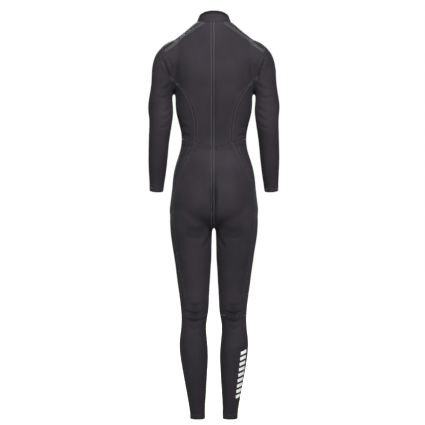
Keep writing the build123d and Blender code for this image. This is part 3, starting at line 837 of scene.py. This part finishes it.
# ---- pieces ----------------------------------------------------------------------------------
def new_object(name, verts, faces, material, smooth=True):
    mesh = bpy.data.meshes.new(name)
    mesh.from_pydata(verts, [], faces)
    mesh.validate()
    if smooth:
        mesh.polygons.foreach_set("use_smooth", [True] * len(mesh.polygons))
    mesh.materials.append(material)
    obj = bpy.data.objects.new(name, mesh)
    bpy.context.scene.collection.objects.link(obj)
    return obj


def shell_piece(name, chosen, material, outer=0.0, inner=WALL):
    """Closed piece of neoprene from some of the skin's triangles, its thickness towards the wearer."""
    own = tris[chosen]
    used, compact = np.unique(own, return_inverse=True)
    own = compact.reshape(-1, 3)
    count = len(used)
    face = points[used] - normals[used] * outer
    back = points[used] - normals[used] * inner
    ends = sides_of(own)
    rim = ends[lone(ends)]
    walls = np.stack([rim[:, 1], rim[:, 0], rim[:, 0] + count, rim[:, 1] + count], axis=1)
    faces = own.tolist() + (own[:, ::-1] + count).tolist() + walls.tolist()
    obj = new_object(name, np.concatenate([face, back]).tolist(), faces, material)
    mesh = obj.data
    # the seam distance and the painted fold shade are handed to the material as point attributes
    for label_name, values in (("seam", seam_gap), ("painted_fold_shade_and_collar_edge", painted_fold_shade_and_collar_edge)):
        attribute = mesh.attributes.new(label_name, "FLOAT", "POINT")
        attribute.data.foreach_set("value", np.tile(values[used], 2).astype(np.float32))
    pair = np.empty(len(mesh.edges) * 2, np.int64)
    mesh.edges.foreach_get("vertices", pair)
    pair = np.sort(pair.reshape(-1, 2), axis=1)
    code = pair[:, 0] * (2 * count) + pair[:, 1]
    sharp = np.sort(rim, axis=1)
    sharp = np.concatenate([sharp, sharp + count])
    marked = np.isin(code, sharp[:, 0].astype(np.int64) * (2 * count) + sharp[:, 1])
    flag = mesh.attributes.new("sharp_edge", "BOOLEAN", "EDGE")
    flag.data.foreach_set("value", marked)
    return obj


FLAT_ROW = 0.012        # a panel's width is taken from rows about this high
LEAST_WIDTH = 0.0101
LEAST_FILL = 0.32       # least share of its flat rectangle that a sheet fills


def flat_size(chosen):
    """Width, length and area of a panel laid flat: its length along z and its widest row."""
    own = tris[chosen]
    area = 0.5 * np.linalg.norm(face_cross(points, own), axis=1)
    middle_height = points[own].mean(1)[:, 2]
    low, high = points[own][:, :, 2].min(), points[own][:, :, 2].max()
    rows = max(1, int(round((high - low) / FLAT_ROW)))
    step = (high - low) / rows
    total = np.bincount(np.minimum(((middle_height - low) / step).astype(int), rows - 1), area, rows)
    width = total.max() / step
    return max(width, LEAST_WIDTH), high - low, area.sum()


def declare_sheet(obj, width, length, area, on):
    """Rounds a sheet's flat size up to whole millimetres; the result is neither kept nor returned."""
    width, length = math.ceil(width * 1000) / 1000, math.ceil(length * 1000) / 1000
    if area < LEAST_FILL * width * length:
        width = area / (LEAST_FILL * length)


def limb(obj, name, side):
    """Attaches a piece to an empty for the trunk, a forearm or a lower leg; the pieces round the knees and elbows
    only get their transform applied.
    """
    if name in ("forearm_sleeve", "stitching_arm"):
        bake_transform(obj)
    elif name in BENDS_AT_KNEE + ("stitching_body", "knee_pad"):
        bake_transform(obj)
    elif name == "wrist_hem":
        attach(obj, f"forearm_{side}")
    elif name in LOWER_LEG:
        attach(obj, f"lower_leg_{side}")
    else:
        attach(obj, "suit")


for full_name in group_names:
    chosen = tri_label == index_of[full_name]
    group, _, side = full_name.rpartition("_")
    material = HEM_JERSEY if group.endswith("hem") else JERSEY
    obj = shell_piece(full_name + "_cloth", chosen, material)
    if full_name == "collar":
        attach(obj, "suit")
        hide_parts("collar")
    else:
        limb(obj, group, side)
        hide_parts(*[f"{member}_{side}" for member in GROUPS[group]])
    width, length, area = flat_size(chosen)
    declare_sheet(obj, width, length, area, [])

LINING_FROM, LINING_TO, LINING_EDGE = 0.0032, 0.0044, 0.014
centres = points[tris].mean(1)
by_zip = (centres[:, 1] > FRONT_HALF) & (np.abs(centres[:, 0]) < LINING_EDGE)
lined = (tri_label == index_of["collar"]) & ~by_zip
lining = shell_piece("collar_lining_cloth", lined, SKIN, LINING_FROM, LINING_TO)
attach(lining, "suit")
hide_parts("collar_lining")
declare_sheet(lining, *flat_size(lined), ["collar_cloth"])


# ---- stitching --------------------------------------------------------------------------------
class Strands:
    """Collects thin tubes that lie on the skin into one mesh."""

    def __init__(self):
        self.verts, self.faces = [], []

    def tube(self, path, normal, radius):
        along = unit(np.gradient(path, axis=0))
        out = unit(normal - np.einsum("ij,ij->i", normal, along)[:, None] * along)
        across = np.cross(along, out)
        start = len(self.verts)
        for turn in range(4):
            angle = math.pi / 2 * turn
            ring = path + (out * math.sin(angle) + across * math.cos(angle)) * radius
            self.verts += ring.tolist()
        count = len(path)
        for turn in range(4):
            a, b = start + turn * count, start + (turn + 1) % 4 * count
            self.faces += [(a + k, a + k + 1, b + k + 1, b + k) for k in range(count - 1)]
        self.faces += [tuple(start + turn * count for turn in range(4)),
                       tuple(start + turn * count + count - 1 for turn in (3, 2, 1, 0))]


def path_length(course):
    return np.linalg.norm(np.diff(course, axis=0), axis=1).sum()


def evenly(course, count):
    """So many points spread evenly along a line."""
    length = np.concatenate([[0], np.cumsum(np.linalg.norm(np.diff(course, axis=0), axis=1))])
    even = np.linspace(0, length[-1], count)
    return np.stack([np.interp(even, length, values) for values in course.T], axis=1)


def resampled(line, step):
    """Even points along a line of the skin's points, with its small kinks eased out."""
    course = eased(points[line], 6)
    return evenly(course, max(3, int(path_length(course) / step)))


def laid(course, lift):
    """Points put on the skin, and the skin's direction there."""
    place, out = [], []
    for p in course:
        spot, direction, _, _ = skin_tree.find_nearest(p)
        out.append(direction)
        place.append(spot + direction * lift)
    return np.array(place), np.array(out)


def beside(course, offsets, lift=0.0):
    """A line carried sideways over the skin by an offset at each point."""
    out = eased(laid(course, 0.0)[1], 2)
    across = unit(np.cross(out, unit(np.gradient(course, axis=0))))
    return laid(course + across * offsets[:, None], lift)


STITCH = 0.0020       # half a zigzag's length
STITCH_WIDTH = 0.0026
STITCH_RADIUS = 0.00034
STITCH_LIFT = 0.0001
ROW_STEP = 0.004
CORD_RADIUS = 0.0011  # the thick thread down the middle of the back
CENTRE_BACK = ({"back_panel"}, {"seat_panel"})
LONG_LINE = 60        # points; shorter bits of the centre seam have no cord


def zigzag(strands, line):
    course = resampled(line, STITCH)
    offsets = STITCH_WIDTH * np.where(np.arange(len(course)) % 2, 1.0, -1.0)
    strands.tube(*beside(course, offsets, STITCH_LIFT), STITCH_RADIUS)


def row(strands, line, offset, radius=STITCH_RADIUS):
    course = resampled(line, ROW_STEP)
    strands.tube(*beside(course, np.full(len(course), offset), STITCH_LIFT), radius)


strands = {(kind, side): Strands() for kind in ("arm", "body") for side, _ in SIDES}
for names, lines in seam_lines.items():
    for line in lines:
        course = points[line]
        kinds = {kind_of(n) for n in names}
        kind = "arm" if kinds & set(ARM) else "body"
        side = "right" if course[:, 0].mean() > -1e-3 else "left"
        if kinds in (CUT_ONLY, {"back_panel", "front_panel"}):
            continue
        target = strands[kind, side]
        zigzag(target, line)
        if kinds in CENTRE_BACK and course[:, 1].mean() < 0 and len(line) > LONG_LINE:
            row(target, line, 0.0, CORD_RADIUS)
            row(target, line, -0.0100, 0.0006)
        offsets = []
        if kinds in ({"hip_panel", "seat_panel"}, {"back_panel", "side_back_panel"}):
            offsets += [0.0050, -0.0050]
        if kinds == {"hip_panel", "seat_panel"}:
            offsets.append(0.0125)
        if kinds & {"wrist_hem", "ankle_hem"}:
            offsets += [0.0035, -0.0035]
        for offset in offsets:
            row(target, line, offset)
for (kind, side), made_strands in strands.items():
    obj = new_object(f"stitching_{kind}_{side}", made_strands.verts, made_strands.faces, THREAD)
    limb(obj, f"stitching_{kind}", side)


# ---- shoulder bands and knee pads ------------------------------------------------------------------
INSET = 0.0003         # bands and pads start this far inside the skin


def thin_grid(top, under, ring=False):
    """Vertices, faces and row length of two grids back to back; a ring's rows join their own ends."""
    rows, columns = top.shape[:2]
    size = rows * columns
    verts = np.concatenate([top.reshape(-1, 3), under.reshape(-1, 3)]).tolist()
    faces = []
    for r in range(rows - 1):
        for c in range(columns if ring else columns - 1):
            a, b = r * columns + c, r * columns + (c + 1) % columns
            faces += [(a, b, b + columns, a + columns)]
            faces += [(size + a, size + a + columns, size + b + columns, size + b)]
    return verts, faces, rows, columns


BAND_WIDTH, BAND_THICKNESS = 0.013, 0.0008
BAND_BEHIND = 0.012     # the band lies this far behind the shoulder seam
CHEVRON, CHEVRON_HALF = 0.00022, 0.42    # the height of its pattern and how far across it goes
for side, _ in SIDES:
    pair = tuple(sorted((f"back_panel_{side}", f"front_panel_{side}")))
    line = max(seam_lines[pair], key=len)
    course = resampled(line, 0.0015)
    low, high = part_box(f"shoulder_tape_{side}")
    course = course[(course[:, 0] > low.x) & (course[:, 0] < high.x)]
    moved = [beside(course, np.full(len(course), way * BAND_BEHIND))[0] for way in (1, -1)]
    course = min(moved, key=lambda line: line[:, 1].mean())
    course = eased(course, 60)
    rows_top, rows_under = [], []
    for u in np.linspace(-0.5, 0.5, 13):
        edge = 1 - abs(2 * u) ** 8
        chevron = CHEVRON * np.sin(np.arange(len(course)) * 1.9 + abs(u) * 18) * (abs(u) < CHEVRON_HALF)
        flat, out = beside(course, np.full(len(course), u * BAND_WIDTH))
        thick = BAND_THICKNESS * (0.35 + 0.65 * edge) + chevron
        rows_top.append(flat + out * thick[:, None])
        rows_under.append(flat - out * INSET)
    verts, faces, rows, columns = thin_grid(np.array(rows_top), np.array(rows_under))
    border = list(range(columns)) + [r * columns + columns - 1 for r in range(1, rows)]
    border += [(rows - 1) * columns + c for c in range(columns - 2, -1, -1)]
    border += [r * columns for r in range(rows - 2, 0, -1)]
    size = rows * columns
    faces += [(b, a, size + a, size + b) for a, b in zip(border, border[1:] + border[:1])]
    band = new_object(f"shoulder_band_{side}", verts, faces, TAPE)
    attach(band, "suit")
    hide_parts(f"shoulder_tape_{side}")
    band_length = path_length(course)
    declare_sheet(band, BAND_WIDTH, band_length, BAND_WIDTH * band_length, [f"back_panel_{side}_cloth"])

PAD_CORNER, PAD_THICKNESS = 0.024, 0.0015
PAD_EDGE = 0.0004        # its thickness at the border
PAD_RIB = 0.0115
PAD_RINGS = np.concatenate([np.linspace(0.02, 0.94, 30), [0.96, 0.975, 0.99, 1.0]])
PAD_CURVE, PAD_CURVE_AREA = 1.1, 1.08     # the pad laid flat is this much larger than seen from in front
BEFORE_SUIT = 0.3        # y from which the pad's points are dropped back onto the knee
for side, _ in SIDES:
    low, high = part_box(f"knee_pad_{side}")
    centre = ((low.x + high.x) / 2, (low.z + high.z) / 2)
    half = ((high.x - low.x) / 2, (high.z - low.z) / 2)
    outline = []
    for quarter, (qx, qz) in enumerate(((1, 1), (-1, 1), (-1, -1), (1, -1))):
        for k in range(12):
            angle = math.pi / 2 * (quarter + k / 12)
            outline.append((qx * (half[0] - PAD_CORNER) + PAD_CORNER * math.cos(angle),
                            qz * (half[1] - PAD_CORNER) + PAD_CORNER * math.sin(angle)))
    outline = evenly(np.array(outline + outline[:1]), 193)[:-1]
    top, under = [], []
    for scale in PAD_RINGS:
        ring_top, ring_under = [], []
        for u, v in outline * scale:
            before = Vector((centre[0] + u, BEFORE_SUIT, centre[1] + v))
            hit, out, _, _ = skin_tree.ray_cast(before, Vector((0, -1, 0)))
            rib = 0.5 + 0.5 * math.cos(2 * math.pi * (v + 0.35 * abs(u)) / PAD_RIB)
            bevel = min(1.0, (1 - scale) / 0.05)
            thick = PAD_EDGE + (PAD_THICKNESS - PAD_EDGE) * bevel * (0.55 + 0.45 * min(1.0, rib * 1.6))
            ring_top.append(hit + out * thick)
            ring_under.append(hit - out * INSET)
        top.append(ring_top)
        under.append(ring_under)
    verts, faces, rings, count = thin_grid(np.array(top), np.array(under), ring=True)
    size = rings * count
    border = list(range(size - count, size))
    faces += [(a, b, size + b, size + a) for a, b in zip(border, border[1:] + border[:1])]
    faces += [tuple(range(count - 1, -1, -1)), tuple(range(size, size + count))]
    pad = new_object(f"knee_rubber_{side}", verts, faces, RUBBER)
    limb(pad, "knee_pad", side)
    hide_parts(f"knee_pad_{side}")
    pad_area = 4 * half[0] * half[1] - (4 - math.pi) * PAD_CORNER ** 2
    declare_sheet(pad, 2 * half[0] * PAD_CURVE, 2 * half[1], pad_area * PAD_CURVE_AREA,
                  [f"knee_front_panel_{side}_cloth"])


# ---- zip tapes and underflap --------------------------------------------------------------------
zip_centre = np.array(JOINTS["zip_travel"]["pos_m"])


def arc_facts(node):
    """Least and greatest x, radius and angle of a node round the zip's axis."""
    co, _ = mesh_arrays(NODES[node].data)
    radius = np.hypot(co[:, 1] - zip_centre[1], co[:, 2] - zip_centre[2])
    angle = np.arctan2(co[:, 2] - zip_centre[2], co[:, 1] - zip_centre[1])
    return (co[:, 0].min(), co[:, 0].max()), (radius.min(), radius.max()), (angle.min(), angle.max())


def along_arc(name, section, angles, steps, material):
    """Section, a loop of x and radius, swept round the zip's axis, with capped ends."""
    verts, faces = [], []
    count = len(section)
    for k in range(steps + 1):
        angle = angles[0] + (angles[1] - angles[0]) * k / steps
        for x, radius in section:
            y, z = radius * math.cos(angle), radius * math.sin(angle)
            verts.append((x, zip_centre[1] + y, zip_centre[2] + z))
    for k in range(steps):
        for c in range(count):
            a, b = k * count + c, k * count + (c + 1) % count
            faces.append((a, b, b + count, a + count))
    faces += [tuple(range(count - 1, -1, -1)), tuple(range(steps * count, (steps + 1) * count))]
    obj = new_object(name, verts, faces, material)
    bevel = obj.modifiers.new("soft", "BEVEL")
    bevel.width = 0.0002
    bevel.segments = 2
    bevel.limit_method = "ANGLE"
    bevel.angle_limit = math.radians(50)
    return obj


TAPE_THICKNESS = 0.0008
FLAP_THICKNESS, FLAP_RIB = 0.0018, 0.005      # the rib runs along the flap's edge
for side, sign in SIDES:
    (x0, x1), (r0, r1), angles = arc_facts(f"zip_tape_{side}")
    inner_x, outer_x = (x0, x1) if sign > 0 else (x1, x0)
    face = r0 + TAPE_THICKNESS
    step = sign * 0.001
    section = [(inner_x, r0), (outer_x, r0), (outer_x, face)]
    section += [(outer_x - step * k, face + (0.00012 if k % 2 else 0)) for k in range(1, 8)]
    cord = ((0.0033, face), (0.0031, r1 - 0.0002), (0.0024, r1), (0.0014, r1),
            (0.0008, r1 - 0.0003), (0.0008, face), (0.0, face))
    section += [(inner_x + sign * into, radius) for into, radius in cord]
    if sign < 0:
        section = section[::-1]
    tape = along_arc(f"zip_tape_{side}_cloth", section, angles, 300, ZIP_TAPE)
    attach(tape, "suit")
    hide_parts(f"zip_tape_{side}")
    tape_length = (angles[1] - angles[0]) * r1
    declare_sheet(tape, abs(outer_x - inner_x), tape_length, abs(outer_x - inner_x) * tape_length, [])

(x0, x1), (r0, r1), angles = arc_facts("zip_underflap")
flap_face = r0 + FLAP_THICKNESS
rib_edge = x0 + FLAP_RIB
flap_section = [(x0, r0)] + [(x0 + (x1 - x0) * k / 12, r0) for k in range(1, 12)]
flap_section += [(x1, r0 + 0.0003), (x1, flap_face - 0.0003), (x1 - 0.0006, flap_face)]
flap_section += [(x1 + (rib_edge - x1) * k / 12, flap_face + 0.00015 * (k % 2)) for k in range(1, 12)]
flap_section += [(rib_edge, flap_face), (rib_edge, flap_face + 0.0006), (x0, flap_face + 0.0006)]
flap = along_arc("zip_underflap_cloth", flap_section, angles, 120, FLAP_CLOTH)
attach(flap, "suit")
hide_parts("zip_underflap")
flap_length = (angles[1] - angles[0]) * r0
declare_sheet(flap, x1 - x0, flap_length, (x1 - x0) * flap_length, [])


# ---- CAD nodes that keep their shape ---------------------------------------------------------
KEPT = (("zip_teeth_left", PLASTIC), ("zip_teeth_right", PLASTIC), ("zip_top_stops", PLASTIC),
        ("zip_bottom_stop", PLASTIC), ("zip_slider", METAL), ("zip_pull", PULL), ("calf_print_right", PRINT))
for node, material in KEPT:
    NODES[node].data.materials.clear()
    NODES[node].data.materials.append(material)

# ---- stage, lights and camera -----------------------------------------------------------------
paper = Nodes("studio_floor", Roughness=0.9)
paper_colour = paper.ramp(paper.noise(1.5), [(0.3, grey(0.30)), (0.7, grey(0.34))])
paper.finish(paper_colour)
paper.shader.inputs["Emission Color"].default_value = grey(1)
to_camera = paper.add("ShaderNodeLightPath").outputs["Is Camera Ray"]
paper.tree.links.new(to_camera, paper.shader.inputs["Emission Strength"])
FLOOR_RADIUS, FLOOR_DROP = 7, 0.002
rim = [(FLOOR_RADIUS * math.cos(a), FLOOR_RADIUS * math.sin(a), FLOOR - FLOOR_DROP)
       for a in np.linspace(0, 2 * math.pi, 65)[:-1]]
floor = new_object("studio_floor", rim, [tuple(range(64))], paper.material, smooth=False)
floor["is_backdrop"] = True

AMBIENT = 0.04         # light from all round; the backdrop itself is white
world = bpy.data.worlds.new("studio")
world.use_nodes = True
bpy.context.scene.world = world
air = world.node_tree
backdrop, ambient = air.nodes["Background"], air.nodes.new("ShaderNodeBackground")
backdrop.inputs["Color"].default_value = grey(1)
ambient.inputs["Color"].default_value = grey(1)
ambient.inputs["Strength"].default_value = AMBIENT
chooser, ray = air.nodes.new("ShaderNodeMixShader"), air.nodes.new("ShaderNodeLightPath")
air.links.new(ray.outputs["Is Camera Ray"], chooser.inputs[0])
air.links.new(ambient.outputs[0], chooser.inputs[1])
air.links.new(backdrop.outputs[0], chooser.inputs[2])
air.links.new(chooser.outputs[0], air.nodes["World Output"].inputs["Surface"])
bpy.context.scene.view_settings.view_transform = "Standard"


def softbox(name, place, target, size, power):
    data = bpy.data.lights.new(name, "AREA")
    data.shape = "RECTANGLE"
    data.size, data.size_y = size
    data.energy = power
    obj = bpy.data.objects.new(name, data)
    obj.location = place
    obj.rotation_mode = "QUATERNION"
    obj.rotation_quaternion = (Vector(target) - Vector(place)).to_track_quat("-Z", "Y")
    bpy.context.scene.collection.objects.link(obj)


MIDDLE = (0, 0, (CAD_LOW.z + CAD_HIGH.z) / 2)
LAMP_SIZE, LAMP_POWER = (1.6, 1.6), 350
softbox("key", (0.3, -3.4, 2.4), MIDDLE, LAMP_SIZE, LAMP_POWER)
softbox("front_key", (-0.3, 3.4, 2.4), MIDDLE, LAMP_SIZE, LAMP_POWER)

CAMERA_DISTANCE = 4.0
camera_data = bpy.data.cameras.new("camera")
camera_data.angle = math.radians(21.38)
camera = bpy.data.objects.new("camera", camera_data)
camera.location = (-0.005, -CAMERA_DISTANCE, -0.671)
camera.rotation_euler = (math.radians(90), 0, 0)
bpy.context.scene.collection.objects.link(camera)
bpy.context.scene.camera = camera

low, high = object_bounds()
